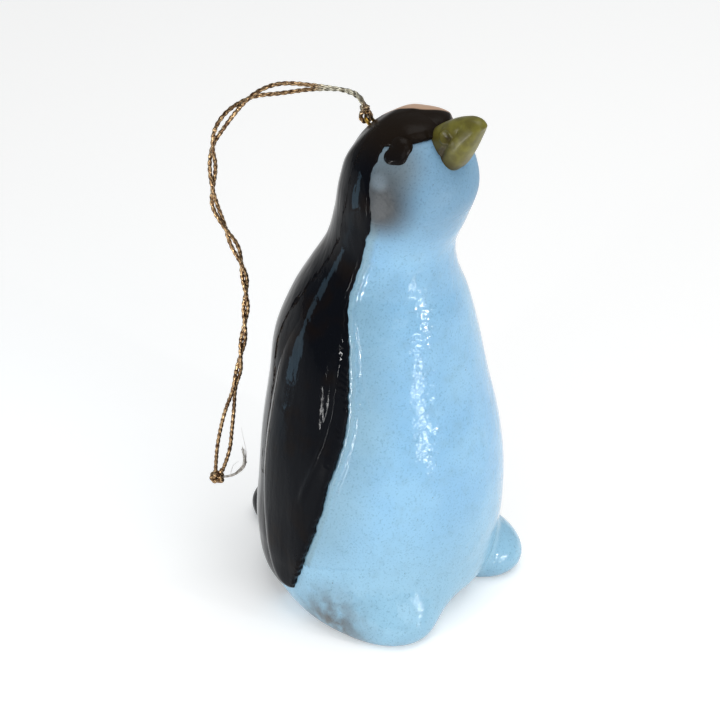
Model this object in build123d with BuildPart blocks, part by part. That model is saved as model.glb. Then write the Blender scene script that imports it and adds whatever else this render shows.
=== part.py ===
from build123d import *
import os
from math import cos, pi, radians, sin, tan

os.makedirs("parts", exist_ok=True)

# Hanging penguin figurine in glazed ceramic, millimetres.
# It stands on Z = 0 and looks along -Y; its right side is on -X.

# Section of the head that the eyes, the beak and the hanging eye are set from
head_level = 92.0
head_shift = -8.9
head_width = 7.8

# Body: level, forward shift and half width of each section, from the base to the crown
body_sections = [
    (0.0, -1.8, 15.4),
    (1.0, -1.8, 18.6),
    (3.5, -1.9, 21.0),
    (12.0, -2.2, 22.9),
    (22.0, -2.8, 22.8),
    (33.0, -2.6, 21.8),
    (43.0, -2.0, 19.8),
    (52.0, -1.6, 18.1),
    (59.0, -2.2, 15.9),
    (65.0, -3.1, 13.1),
    (71.0, -4.8, 11.3),
    (77.0, -7.0, 11.5),
    (83.0, -8.6, 11.8),
    (88.5, -8.8, 10.3),
    (head_level, head_shift, head_width),
    (94.4, -9.0, 4.5),
    (95.4, -9.0, 0.8),
]
depth_share = 0.96
body_height = body_sections[-1][0]

# Hollow inside the casting
wall = 3.0
floor = 3.2
hollow_low = 10.0
hollow_high = 90.0
hollow_foot_inset = 5.0
hollow_crown_drop = 0.5
hollow_crown_radius = 2.6
vent_radius = 2.0
vent_forward = 6.0

# Colour line between the white front and the black back, as (Y, Z) in side view
colour_line = [
    (-0.6, 5.5),
    (-2.8, 11.5),
    (-5.4, 19.0),
    (-8.2, 31.0),
    (-9.7, 42.0),
    (-8.6, 54.0),
    (-5.8, 65.0),
    (-7.2, 72.0),
    (-9.6, 81.0),
    (-8.8, 89.0),
]
cap_corner = (-9.3, 91.6)
cap_front = (-15.0, 93.0)
line_foot = (1.5, 0.0)
overrun = 30.0

# Flippers, raised from the flanks
flipper_rise = 1.0
flipper_back_edge = [(-2.0, 66.5), (4.0, 62.0), (8.0, 50.0), (10.0, 34.0), (9.0, 18.0), (4.0, 5.0)]

# Feet: side reach, forward reach and height of the centre, then the three half sizes
foot_centre = (13.2, 11.0, 2.8)
foot_half_sizes = (8.7, 13.2, 5.9)

# Tail
tail_centre = (20.8, 2.6)
tail_half_sizes = (5.4, 7.6, 3.8)

# Beak: how far its root stands off the head, pitch above level, and the two mandibles
beak_root_stand = 0.4
beak_pitch = 46.0
beak_stations = [(-4.0, 3.9, 4.0), (0.0, 3.7, 3.9), (4.0, 2.8, 3.1), (7.0, 1.8, 2.1), (8.5, 0.8, 0.9)]
mouth_tilt = 16.0
mouth_start = (-0.8, -0.2)

# Eyes: how far the centre lies in from the side of the head, forward and below its section
eye_sink = 0.5
eye_forward = 2.5
eye_drop = 0.6
eye_half_sizes = (1.6, 2.1, 2.4)

# Hanging eye: a wire staple let into the back of the head; how far its bar stands off and below the section
bar_stand = 2.6
bar_drop = 0.4
wire_radius = 0.3
staple_half_width = 1.6
staple_bend = 0.8
staple_depth = 3.6
staple_pitch = 50.0

# Cord: the upright plane in which it hangs runs back and to the right
cord_heading = 140.0
cord_diameter = 0.7
run_share = 0.45
hitch_ring_radius = 0.95
hitch_ring_spacing = 0.6
hitch_turn_radius = 0.33
hitch_collar = (0.15, 1.3)
hitch_collar_half_sizes = (0.7, 0.5, 0.95)

# Route of each strand from the hanging eye: distance out, height, and depth across the plane
strand_upper_route = [
    (0.2, 1.6, -0.5),
    (0.7, 3.5, -0.5),
    (3.3, 5.0, -0.5),
    (8.9, 5.9, -0.5),
    (14.3, 6.4, -0.5),
    (18.1, 4.8, -0.5),
    (20.5, 2.6, -0.6),
    (22.5, -0.2, 0.0),
    (24.3, -3.0, 0.6),
    (26.0, -5.6, 0.6),
    (26.7, -9.2, 0.0),
    (26.2, -13.6, -0.6),
    (25.5, -17.0, 0.0),
    (24.4, -21.0, 0.6),
    (23.7, -24.4, 0.0),
    (21.8, -27.8, -0.6),
    (20.8, -31.0, 0.0),
    (21.1, -34.0, 0.6),
    (21.8, -37.2, 0.0),
    (21.5, -40.4, -0.6),
    (21.5, -44.0, 0.0),
    (22.5, -47.2, 0.6),
    (23.5, -50.4, 0.0),
    (24.0, -54.0, -0.6),
    (25.7, -58.6, -0.2),
    (26.9, -63.6, 0.0),
    (27.7, -68.2, 0.0),
    (28.0, -72.4, 0.0),
]
strand_lower_route = [
    (0.2, 1.6, 0.5),
    (0.7, 3.4, 0.5),
    (3.3, 4.7, 0.5),
    (8.9, 4.8, 0.5),
    (14.3, 3.9, 0.5),
    (18.1, 3.6, 0.5),
    (20.5, 2.6, 0.6),
    (23.4, 0.9, 0.0),
    (25.5, -2.0, -0.6),
    (26.0, -5.6, -0.6),
    (25.4, -9.2, 0.0),
    (26.2, -13.6, 0.6),
    (26.7, -17.0, 0.0),
    (24.4, -21.0, -0.6),
    (22.2, -24.4, 0.0),
    (21.8, -27.8, 0.6),
    (21.8, -31.0, 0.0),
    (21.1, -34.0, -0.6),
    (20.8, -37.2, 0.0),
    (21.5, -40.4, 0.6),
    (22.5, -44.0, 0.0),
    (22.5, -47.2, -0.6),
    (22.5, -50.4, 0.0),
    (23.8, -54.0, 0.6),
    (24.1, -58.6, 0.2),
    (24.7, -63.6, 0.0),
    (25.2, -68.2, 0.0),
    (26.7, -72.2, 0.0),
]

# End knot and the frayed ends beyond it
end_knot_centre = (27.8, -73.7)
end_knot_half_sizes = (1.45, 1.2, 1.3)
frayed_route = [
    (26.7, -73.7, 0.0),
    (24.9, -73.4, 0.0),
    (23.1, -72.0, 0.2),
    (22.4, -70.0, 0.2),
    (22.7, -67.4, 0.0),
]
frayed_diameter = 0.9


def lofted(sections):
    with BuildPart(mode=Mode.PRIVATE) as solid:
        for level, shift, half_width, half_depth in sections:
            with BuildSketch(Plane.XY.offset(level)):
                with Locations((0, shift)):
                    Ellipse(half_width, half_depth)
        loft()
    return solid.part


def grown_sections(sections, grow):
    return [
        (level, shift, half_width + grow, half_width * depth_share + grow)
        for level, shift, half_width in sections
    ]


def ellipsoid(centre, half_sizes, rotation=(0, 0, 0)):
    shape = scale(Sphere(1, mode=Mode.PRIVATE), by=half_sizes, mode=Mode.PRIVATE)
    return Location(centre, rotation) * shape


def save(part, label):
    part.label = label
    export_step(part, f"parts/{label}.step")


# Casting blank
outer = lofted(grown_sections(body_sections, 0))
outer_grown = lofted(grown_sections(body_sections, flipper_rise))
below_hollow = [section for section in body_sections if section[0] < hollow_low]
beside_hollow = [section for section in body_sections if hollow_low < section[0] < hollow_high]
foot_shift, foot_width = below_hollow[-1][1:]
hollow = lofted(
    [(floor, foot_shift, foot_width - hollow_foot_inset, foot_width * depth_share - hollow_foot_inset)]
    + grown_sections(beside_hollow, -wall)
    + [(head_level - hollow_crown_drop, head_shift, hollow_crown_radius, hollow_crown_radius)]
)

# Region of the black glaze, as a profile in side view
with BuildPart(mode=Mode.PRIVATE) as black_region:
    with BuildSketch(Plane.YZ):
        with BuildLine():
            line = Spline(line_foot, *colour_line, cap_corner)
            Polyline(
                cap_corner,
                cap_front,
                (-overrun, cap_front[1]),
                (-overrun, body_height + overrun),
                (overrun + overrun, body_height + overrun),
                (overrun + overrun, -overrun),
                (line_foot[0], -overrun),
                line_foot,
            )
        make_face()
    extrude(amount=overrun, both=True)

# Hanging eye, built first because both its legs pass into the back shell
bar_axis = Vector(sin(radians(cord_heading - 90)), cos(radians(cord_heading - 90)), 0)
out_axis = Vector(-bar_axis.Y, bar_axis.X, 0)
leg_axis = out_axis * cos(radians(staple_pitch)) + Vector(0, 0, 1) * sin(radians(staple_pitch))
bar_point = Vector(0, head_shift + head_width * depth_share + bar_stand, head_level - bar_drop)
leg_foot = bar_point - leg_axis * staple_depth
with BuildPart() as hanging_eye:
    with BuildLine() as wire_line:
        FilletPolyline(
            leg_foot - bar_axis * staple_half_width,
            bar_point - bar_axis * staple_half_width,
            bar_point + bar_axis * staple_half_width,
            leg_foot + bar_axis * staple_half_width,
            radius=staple_bend,
        )
    with BuildSketch(Plane(origin=leg_foot - bar_axis * staple_half_width, z_dir=leg_axis)):
        Circle(wire_radius)
    sweep()
save(hanging_eye.part, "hanging_eye")

with BuildPart() as front_shell:
    add(outer)
    add(hollow, mode=Mode.SUBTRACT)
    add(black_region.part, mode=Mode.SUBTRACT)
    with Locations((0, -vent_forward, 0)):
        Cylinder(vent_radius, floor + floor, mode=Mode.SUBTRACT)
save(front_shell.part, "front_shell")

with BuildPart() as back_shell:
    add(outer)
    add(hollow, mode=Mode.SUBTRACT)
    add(black_region.part, mode=Mode.INTERSECT)
    add(hanging_eye.part, mode=Mode.SUBTRACT)
save(back_shell.part, "back_shell")

# Flippers
with BuildPart() as flipper_right:
    with BuildSketch(Plane.YZ):
        with BuildLine():
            front_edge = Spline(*colour_line[0:7])
            back_edge = Spline(front_edge @ 1, *flipper_back_edge, front_edge @ 0)
        make_face()
    extrude(amount=-overrun)
    add(outer_grown, mode=Mode.INTERSECT)
    add(outer, mode=Mode.SUBTRACT)
save(flipper_right.part, "flipper_right")

with BuildPart() as flipper_left:
    add(flipper_right.part)
    mirror(about=Plane.YZ, mode=Mode.REPLACE)
save(flipper_left.part, "flipper_left")

# Feet
side, forward, rise = foot_centre
with BuildPart() as foot_right:
    add(ellipsoid((-side, -forward, rise), foot_half_sizes))
    split(bisect_by=Plane.XY, keep=Keep.TOP)
    add(outer, mode=Mode.SUBTRACT)
    add(flipper_right.part, mode=Mode.SUBTRACT)
save(foot_right.part, "foot_right")

with BuildPart() as foot_left:
    add(foot_right.part)
    mirror(about=Plane.YZ, mode=Mode.REPLACE)
save(foot_left.part, "foot_left")

# Tail
with BuildPart() as tail:
    add(ellipsoid((0, *tail_centre), tail_half_sizes))
    split(bisect_by=Plane.XY, keep=Keep.TOP)
    add(outer, mode=Mode.SUBTRACT)
save(tail.part, "tail")

# Beak, lofted along its own axis and parted along the mouth
beak_axis = Vector(0, -cos(radians(beak_pitch)), sin(radians(beak_pitch)))
beak_up = Vector(0, sin(radians(beak_pitch)), cos(radians(beak_pitch)))
root_point = Vector(0, head_shift - head_width * depth_share - beak_root_stand, head_level)
with BuildPart(mode=Mode.PRIVATE) as beak_blank:
    for distance, half_width, half_height in beak_stations:
        with BuildSketch(Plane(origin=root_point + beak_axis * distance, x_dir=(1, 0, 0), z_dir=beak_axis)):
            Ellipse(half_width, half_height)
    loft()
mouth_point = root_point + beak_axis * mouth_start[0] + beak_up * mouth_start[1]
mouth_normal = beak_up * cos(radians(mouth_tilt)) - beak_axis * sin(radians(mouth_tilt))
mouth_plane = Plane(origin=mouth_point, x_dir=(1, 0, 0), z_dir=mouth_normal)

with BuildPart() as beak_upper:
    add(beak_blank.part)
    add(outer, mode=Mode.SUBTRACT)
    split(bisect_by=mouth_plane, keep=Keep.TOP)
save(beak_upper.part, "beak_upper")

with BuildPart() as beak_lower:
    add(beak_blank.part)
    add(outer, mode=Mode.SUBTRACT)
    split(bisect_by=mouth_plane, keep=Keep.BOTTOM)
save(beak_lower.part, "beak_lower")

# Eyes
eye_point = (eye_sink - head_width, head_shift - eye_forward, head_level - eye_drop)
with BuildPart() as eye_right:
    add(ellipsoid(eye_point, eye_half_sizes))
    add(outer, mode=Mode.SUBTRACT)
save(eye_right.part, "eye_right")

with BuildPart() as eye_left:
    add(eye_right.part)
    mirror(about=Plane.YZ, mode=Mode.REPLACE)
save(eye_left.part, "eye_left")


# Cord
def on_cord(distance, height, depth):
    return bar_point + out_axis * distance + Vector(0, 0, height) + bar_axis * depth


def along_cord(centre, half_sizes):
    place = Plane(origin=centre, x_dir=out_axis, z_dir=bar_axis).location
    return place * scale(Sphere(1, mode=Mode.PRIVATE), by=half_sizes, mode=Mode.PRIVATE)


def corner_radii(points):
    radii = []
    for before, corner, after in zip(points, points[1:], points[2:]):
        run_in = corner - before
        run_out = after - corner
        half_turn = radians(run_in.get_angle(run_out)) / 2
        radii.append(run_share * min(run_in.length, run_out.length) / tan(half_turn))
    return radii


def cord_tube(route, diameter, label):
    points = [on_cord(*stop) for stop in route]
    radii = corner_radii(points)
    with BuildPart() as tube:
        with BuildLine():
            centreline = FilletPolyline(*points, radius=radii)
        with BuildSketch(Plane(origin=centreline @ 0, z_dir=centreline % 0)):
            Circle(diameter / 2)
        sweep()
    section_area = pi * diameter**2 / 4
    print(label, "length", round(centreline.length, 1), "smallest radius", round(min(radii), 1))
    print("radii", [round(radius, 1) for radius in radii])
    print("volume over section times length", round(tube.part.volume / (section_area * centreline.length), 3))
    return tube.part


# Hitch round the wire, end knot and frayed ends
strand_upper = cord_tube(strand_upper_route, cord_diameter, "cord_strand_upper")
strand_lower = cord_tube(strand_lower_route, cord_diameter, "cord_strand_lower")
frayed = cord_tube(frayed_route, frayed_diameter, "frayed_ends")
save(strand_upper, "cord_strand_upper")
save(strand_lower, "cord_strand_lower")

hitch_plane = Plane(origin=bar_point, x_dir=out_axis, z_dir=bar_axis)
collar_point = on_cord(*hitch_collar, 0)
with BuildPart() as hitch_knot:
    with Locations(hitch_plane):
        with Locations((0, 0, -hitch_ring_spacing / 2), (0, 0, hitch_ring_spacing / 2)):
            Torus(hitch_ring_radius, hitch_turn_radius)
    add(along_cord(collar_point, hitch_collar_half_sizes))
    add(strand_upper, mode=Mode.SUBTRACT)
    add(strand_lower, mode=Mode.SUBTRACT)
save(hitch_knot.part, "hitch_knot")

with BuildPart() as end_knot:
    add(along_cord(on_cord(*end_knot_centre, 0), end_knot_half_sizes))
    add(strand_upper, mode=Mode.SUBTRACT)
    add(strand_lower, mode=Mode.SUBTRACT)
save(end_knot.part, "end_knot")

with BuildPart() as frayed_ends:
    add(frayed)
    add(end_knot.part, mode=Mode.SUBTRACT)
    add(strand_upper, mode=Mode.SUBTRACT)
    add(strand_lower, mode=Mode.SUBTRACT)
save(frayed_ends.part, "frayed_ends")
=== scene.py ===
import math
import random

import bmesh
import bpy
import numpy as np
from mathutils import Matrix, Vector, noise
from mathutils.kdtree import KDTree


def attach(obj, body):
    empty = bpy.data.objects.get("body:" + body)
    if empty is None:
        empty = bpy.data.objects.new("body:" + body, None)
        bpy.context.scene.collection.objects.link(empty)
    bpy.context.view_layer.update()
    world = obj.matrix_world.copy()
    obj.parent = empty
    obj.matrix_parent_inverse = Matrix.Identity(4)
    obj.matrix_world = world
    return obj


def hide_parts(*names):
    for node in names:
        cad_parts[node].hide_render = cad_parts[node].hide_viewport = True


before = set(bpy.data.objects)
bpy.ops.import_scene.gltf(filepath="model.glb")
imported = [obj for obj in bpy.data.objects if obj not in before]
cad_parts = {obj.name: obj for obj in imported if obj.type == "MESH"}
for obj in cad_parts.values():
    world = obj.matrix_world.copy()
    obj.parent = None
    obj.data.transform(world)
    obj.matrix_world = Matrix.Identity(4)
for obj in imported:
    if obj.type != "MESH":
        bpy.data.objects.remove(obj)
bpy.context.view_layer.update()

# Hanging penguin figurine in glazed ceramic. Lengths are millimetres until a mesh is made.
# It stands on Z = 0 and looks along -Y; its right side is on -X.
MM = 0.001
random.seed(7)

# Head, from which the eyes, the beak and the hanging eye are set: level, Y of the middle and half width
HEAD_LEVEL = 92.0
HEAD_SHIFT = -8.9
HEAD_WIDTH = 7.8
HEAD_MIDDLE = np.array([0.0, HEAD_SHIFT, HEAD_LEVEL])

# Body: level, Y of the middle and half width of each section, from the base to the crown
BODY_SECTIONS = np.array([
    (0.0, -1.8, 15.4),
    (1.0, -1.8, 18.6),
    (3.5, -1.9, 21.0),
    (12.0, -2.2, 22.9),
    (22.0, -2.8, 22.8),
    (33.0, -2.6, 21.8),
    (43.0, -2.0, 19.8),
    (52.0, -1.6, 18.1),
    (59.0, -2.2, 15.9),
    (65.0, -3.1, 13.1),
    (71.0, -4.8, 11.3),
    (77.0, -7.0, 11.5),
    (83.0, -8.6, 11.8),
    (88.5, -8.8, 10.3),
    (HEAD_LEVEL, HEAD_SHIFT, HEAD_WIDTH),
    (94.4, -9.0, 4.5),
    (95.4, -9.0, 0.8),
    (95.5, -9.0, 0.0),
])
DEPTH_SHARE = 0.96
FLOOR_THICKNESS = 3.2
VENT_RADIUS = 2.0
VENT_FORWARD = 6.0

# Colour line between the white front and the black back, as (Y, Z) in side view
COLOUR_LINE = np.array([
    (1.5, 0.0),
    (-0.6, 5.5),
    (-2.8, 11.5),
    (-5.4, 19.0),
    (-8.2, 31.0),
    (-9.7, 42.0),
    (-8.6, 54.0),
    (-5.8, 65.0),
    (-7.2, 72.0),
    (-9.6, 81.0),
    (-8.8, 89.0),
    (-9.3, 92.1),
])
# Tip of the cap over the beak, as (Y, Z)
CAP_FRONT = (-15.0, 93.2)
# The black's rise over the white, the width that rounds it, the line's wander, and the white's tuck below
EDGE_RISE = 0.45
EDGE_ROUND = 0.7
EDGE_WANDER = 0.22
TUCK = 0.9
# Ends of the scratch over the near foot, and the swelling over each eye, with X and Y counted positive
SCRATCH = [(-18.8, -15.2, 19.9), (-16.1, -17.8, 11.6)]
BROW = (4.2, 12.8, 93.8)
BROW_SWELL = 0.7
BROW_RADIUS = 5.5
# The glaze lies flush round the hanging eye, where the cord swings, and comes back over this width
FLUSH_RADIUS, FLUSH_WIDTH = 9.0, 3.5

# Soft bands of relief, each with its height, its distance from a line and its width
RIDGE = (0.14, 0.7, 0.35)
GROOVE = (-0.24, 1.5, 0.38)
BRANCH = (-0.14, 0.0, 0.4)
SCRATCH_LIPS = (0.10, 0.7, 0.3)
SCRATCH_GROOVE = (-0.22, 0.0, 0.35)
FLIPPER_FOLD = (0.34, 0.0, 0.55)
MOUTH_GROOVE = (0.34, 0.0, 0.42)
NOSTRIL_DIMPLE = (0.4, 0.0, 0.6)
NOSTRIL_RIM = (-0.26, 1.1, 0.3)

# Flippers, raised from the flanks
FLIPPER_RISE = 1.0
FLIPPER_FRONT = COLOUR_LINE[1:8]
FLIPPER_BACK = np.array([
    (-0.6, 5.5), (4.0, 5.0), (9.0, 18.0), (10.0, 34.0), (8.0, 50.0), (4.0, 62.0), (-2.0, 66.5), (-5.8, 65.0),
])

# Feet, tail and eyes: centre and half sizes
FOOT_CENTRE = (13.2, -11.0, 2.8)
FOOT_HALF_SIZES = (8.7, 13.2, 5.9)
TAIL_CENTRE = (0.0, 20.8, 2.5)
TAIL_HALF_SIZES = (6.3, 7.9, 5.0)
# Length over which each foot flows into the body
FOOT_SOFTNESS = {-1: 8.0, 1: 2.0}
# Points inside the feet, the tail and the eyes that rays go out from; for the eyes, from the head's middle
FOOT_CORE = (10.5, -8.5, 0.6)
TAIL_CORE = (0.0, 15.0, 0.6)
EYE_CORE = (6.9, -2.4, -0.5)
# Each eye is a pellet with two lower lumps: how far out, along Y and up from the head's middle; half sizes
EYE_LUMPS = [
    ((6.1, -2.6, 0.0), (1.8, 2.1, 2.0)),
    ((7.5, -2.0, -1.7), (1.6, 1.7, 1.8)),
    ((7.1, -3.2, -1.4), (1.5, 1.5, 1.7)),
]
LEFT_EYE_SUNK = 0.9

# Beak: root, pitch above level, and half width, height above and height below along it
BEAK_ROOT = (HEAD_SHIFT - HEAD_WIDTH * DEPTH_SHARE - 0.8, HEAD_LEVEL - 0.8)
BEAK_PITCH = math.radians(46.0)
BEAK_STATIONS = np.array([
    (-2.5, 2.6, 4.3, 3.0),
    (0.0, 2.9, 4.5, 3.3),
    (3.0, 2.9, 4.0, 2.6),
    (6.0, 2.2, 3.0, 1.6),
    (8.0, 1.5, 1.8, 0.9),
    (8.8, 0.8, 0.8, 0.6),
    (9.0, 0.0, 0.0, 0.0),
])
BEAK_SQUARENESS = 2.5
MOUTH_TILT = math.radians(16.0)
MOUTH_START = (-0.8, -0.2)
NOSTRIL = (3.0, 1.8)

# Hanging eye and the upright plane in which the cord hangs
BAR_POINT = Vector((0.0, HEAD_SHIFT + HEAD_WIDTH * DEPTH_SHARE + 2.6, HEAD_LEVEL - 0.4))
CORD_HEADING = math.radians(140.0)
BAR_AXIS = Vector((-math.cos(CORD_HEADING), math.sin(CORD_HEADING), 0.0))
OUT_AXIS = Vector((-BAR_AXIS.y, BAR_AXIS.x, 0.0))
CORD_DIAMETER = 0.7

# Route of each strand from the hanging eye: distance out, height, and depth across the plane
STRAND_UPPER_ROUTE = [
    (0.2, 1.6, -0.5), (0.7, 3.5, -0.5), (3.3, 5.0, -0.5), (8.9, 5.9, -0.5), (14.3, 6.4, -0.5),
    (18.1, 4.8, -0.5), (20.5, 2.6, -0.6), (22.5, -0.2, 0.0), (24.3, -3.0, 0.6), (26.0, -5.6, 0.6),
    (26.7, -9.2, 0.0), (26.2, -13.6, -0.6), (25.5, -17.0, 0.0), (24.4, -21.0, 0.6),
    (23.7, -24.4, 0.0), (21.8, -27.8, -0.6), (20.8, -31.0, 0.0), (21.1, -34.0, 0.6),
    (21.8, -37.2, 0.0), (21.5, -40.4, -0.6), (21.5, -44.0, 0.0), (22.5, -47.2, 0.6),
    (23.5, -50.4, 0.0), (24.0, -54.0, -0.6), (25.7, -58.6, -0.2), (26.9, -63.6, 0.0),
    (27.7, -68.2, 0.0), (28.0, -72.4, 0.0),
]
STRAND_LOWER_ROUTE = [
    (0.2, 1.6, 0.5), (0.7, 3.4, 0.5), (3.3, 4.7, 0.5), (8.9, 4.8, 0.5), (14.3, 3.9, 0.5),
    (18.1, 3.6, 0.5), (20.5, 2.6, 0.6), (23.4, 0.9, 0.0), (25.5, -2.0, -0.6), (26.0, -5.6, -0.6),
    (25.4, -9.2, 0.0), (26.2, -13.6, 0.6), (26.7, -17.0, 0.0), (24.4, -21.0, -0.6),
    (22.2, -24.4, 0.0), (21.8, -27.8, 0.6), (21.8, -31.0, 0.0), (21.1, -34.0, -0.6),
    (20.8, -37.2, 0.0), (21.5, -40.4, 0.6), (22.5, -44.0, 0.0), (22.5, -47.2, -0.6),
    (22.5, -50.4, 0.0), (23.8, -54.0, 0.6), (24.1, -58.6, 0.2), (24.7, -63.6, 0.0),
    (25.2, -68.2, 0.0), (26.7, -72.2, 0.0),
]
END_KNOT_CENTRE = (27.8, -73.7)
FRAYED_ROUTE = [
    (26.7, -73.7, 0.0), (24.9, -73.4, 0.0), (23.1, -72.0, 0.2), (22.4, -70.0, 0.2), (22.7, -67.4, 0.0),
]


# Materials
def paint(hex_colour):
    """Linear colour of an sRGB hex value."""
    parts = [int(hex_colour[i:i + 2], 16) / 255 for i in (1, 3, 5)]
    linear = [part / 12.92 if part <= 0.04045 else ((part + 0.055) / 1.055) ** 2.4 for part in parts]
    return (*linear, 1.0)


# Sockets of a Mix node's colours, which share their names with its numbers and vectors
MIX_FIRST, MIX_SECOND, MIX_RESULT = 6, 7, 2


def add_node(tree, kind, links=(), **settings):
    """A node; links give (input, source node, output), and in_NAME sets the value of the input NAME."""
    node = tree.nodes.new(kind)
    for name, value in settings.items():
        if name.startswith("in_"):
            key = name[3:]
            node.inputs[int(key) if key.isdigit() else key.replace("_", " ")].default_value = value
        else:
            setattr(node, name, value)
    for socket, source, output in links:
        tree.links.new(source.outputs[output], node.inputs[socket])
    return node


def new_material(name):
    material = bpy.data.materials.new(name)
    material.use_nodes = True
    tree = material.node_tree
    tree.nodes.clear()
    shader = add_node(tree, "ShaderNodeBsdfPrincipled")
    add_node(tree, "ShaderNodeOutputMaterial", [("Surface", shader, "BSDF")])
    return material, tree, shader


def cycles_per_mm(size_mm):
    """Texture scale, in metres of object space, for a pattern of that size."""
    return 1.0 / (size_mm * MM)


def noise_at(tree, place, size_mm, detail=2.0):
    return add_node(tree, "ShaderNodeTexNoise", [("Vector", place, "Object")],
                    in_Scale=cycles_per_mm(size_mm), in_Detail=detail)


def step_between(tree, source, output, low, high):
    """0 below low, 1 above high, smooth in between."""
    return add_node(tree, "ShaderNodeMapRange", [("Value", source, output)], interpolation_type="SMOOTHSTEP",
                    in_From_Min=low, in_From_Max=high)


def mix_colour(tree, share, first, second, blend="MIX"):
    """Mix of two colours; each is a hex value or another mix."""
    mix = add_node(tree, "ShaderNodeMix", [("Factor", share, share.outputs[0].name)], data_type="RGBA",
                   blend_type=blend)
    for socket, colour in ((MIX_FIRST, first), (MIX_SECOND, second)):
        if isinstance(colour, str):
            mix.inputs[socket].default_value = paint(colour)
        else:
            tree.links.new(colour.outputs[MIX_RESULT], mix.inputs[socket])
    return mix


def coloured(tree, shader, tone):
    tree.links.new(tone.outputs[MIX_RESULT], shader.inputs["Base Color"])


def duller_with(tree, shader, share, glossy, dull):
    """Roughness from the glossy value to the dull one, with a share."""
    roughness = add_node(tree, "ShaderNodeMapRange", [("Value", share, "Result")],
                         in_To_Min=glossy, in_To_Max=dull)
    tree.links.new(roughness.outputs["Result"], shader.inputs["Roughness"])


def nearness(tree, place, point, radius_mm, core):
    """1 near a point of the object, out to that share of the radius; 0 beyond the radius."""
    away = add_node(tree, "ShaderNodeVectorMath", [(0, place, "Object")], operation="DISTANCE",
                    in_1=[c * MM for c in point])
    return step_between(tree, away, "Value", radius_mm * MM, core * radius_mm * MM)


def product(tree, *shares):
    factors = [(i, share, share.outputs[0].name) for i, share in enumerate(shares)]
    return add_node(tree, "ShaderNodeMath", factors, operation="MULTIPLY")


def bumped(tree, shader, layers):
    """Bump from several height sources; each is (node, output, height in mm)."""
    below = None
    for source, output, height_mm in layers:
        links = [("Height", source, output)]
        if below:
            links.append(("Normal", below, "Normal"))
        below = add_node(tree, "ShaderNodeBump", links, in_Distance=height_mm * MM)
    tree.links.new(below.outputs["Normal"], shader.inputs["Normal"])


# White glaze: tin-opacified clear glaze over pale clay, dipped and fired; glossy, orange peel, iron specks.
# The first three are the levels, in mm, between which the lower tint, the painted shade of the throat under
# the head, and the duller neck come in.
LOW_TINT_LEVELS = (30, 5)
THROAT_SHADE_LEVELS = (70, 81)
DULL_NECK_LEVELS = (76, 84)
WHITE_ROUGHNESS = (0.07, 0.5)
# Refractive index of all three glazes
GLAZE_IOR = 1.5
# Painted shade on both cheeks and heels: how far out, along Y and up, the radius, and the colour
CHEEK_SHADES = [
    (9.0, -11.5, 89.5, 7.5, "#74858f"),
    (11.2, -10.8, 83.5, 8.5, "#43474a"),
    (10.4, -10.6, 87.2, 2.2, "#74818a"),
]
HEEL_SHADE = (22.0, -9.5, 2.5, 11.0, "#66696a")
# Specks of iron: size of the cells in mm, share of the cells without one, and its size in the cell
SPECKS = [(2.4, 0.84, 0.07), (1.1, 0.92, 0.09)]
white_glaze, tree, shader = new_material("white_tin_glaze")
place = add_node(tree, "ShaderNodeTexCoord")
# The pale blue in these tones is the painted colour of a cool light over the white glaze
cloud = noise_at(tree, place, 11.0)
cloud_share = step_between(tree, cloud, "Fac", 0.35, 0.7)
body_tone = mix_colour(tree, cloud_share, "#8ec3e8", "#98cbec")
position = add_node(tree, "ShaderNodeSeparateXYZ", [(0, place, "Object")])
low_share = step_between(tree, position, "Z", *(level * MM for level in LOW_TINT_LEVELS))
body_tone = mix_colour(tree, low_share, body_tone, "#9bc9e2")
# Painted shade: the throat under the head is darker
throat_shade_share = step_between(tree, position, "Z", *(level * MM for level in THROAT_SHADE_LEVELS))
body_tone = mix_colour(tree, throat_shade_share, body_tone, "#7ba7c6")
# Greyed beside the black, and painted shade over the flank
edge_grey_and_flank_shade_share = add_node(tree, "ShaderNodeAttribute", attribute_name="edge_grey_and_flank_shade")
body_tone = mix_colour(tree, edge_grey_and_flank_shade_share, body_tone, "#84a6b4")
wash = noise_at(tree, place, 2.6, 5.0)
wash_share = step_between(tree, wash, "Fac", 0.42, 1.3)
body_tone = mix_colour(tree, wash_share, body_tone, "#7fa6bd")
for side in (-1, 1):
    # Painted shade on the cheek
    for out, y, level, radius, shade_tone in CHEEK_SHADES:
        cheek_shade = nearness(tree, place, (side * out, y, level), radius, 0.25)
        body_tone = mix_colour(tree, cheek_shade, body_tone, shade_tone)
    # Painted shade on the heel's lower outer side, broken up by the wash
    out, y, level, radius, shade_tone = HEEL_SHADE
    heel_shade = nearness(tree, place, (side * out, y, level), radius, 0.1)
    broken_heel_shade = product(tree, heel_shade, step_between(tree, wash, "Fac", 0.1, 0.65))
    body_tone = mix_colour(tree, broken_heel_shade, body_tone, shade_tone)
grain = noise_at(tree, place, 0.35, 3.0)
grain_share = step_between(tree, grain, "Fac", 0.52, 0.72)
body_tone = mix_colour(tree, grain_share, body_tone, "#dfe3e6", "MULTIPLY")
for cell_mm, bare_cells, size in SPECKS:
    cells = add_node(tree, "ShaderNodeTexVoronoi", [("Vector", place, "Object")],
                     in_Scale=cycles_per_mm(cell_mm))
    picked = add_node(tree, "ShaderNodeSeparateColor", [(0, cells, "Color")])
    chosen = step_between(tree, picked, "Red", bare_cells, bare_cells + 0.04)
    speck = product(tree, chosen, step_between(tree, cells, "Distance", size, size / 2))
    body_tone = mix_colour(tree, speck, body_tone, "#667b8c")
coloured(tree, shader, body_tone)
neck_share = step_between(tree, position, "Z", *(level * MM for level in DULL_NECK_LEVELS))
duller_with(tree, shader, neck_share, *WHITE_ROUGHNESS)
shader.inputs["IOR"].default_value = GLAZE_IOR
peel = noise_at(tree, place, 1.1, 2.0)
sag = noise_at(tree, place, 4.5)
bumped(tree, shader, [(sag, "Fac", 0.24), (wash, "Fac", 0.10), (peel, "Fac", 0.105), (grain, "Fac", 0.016)])
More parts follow.
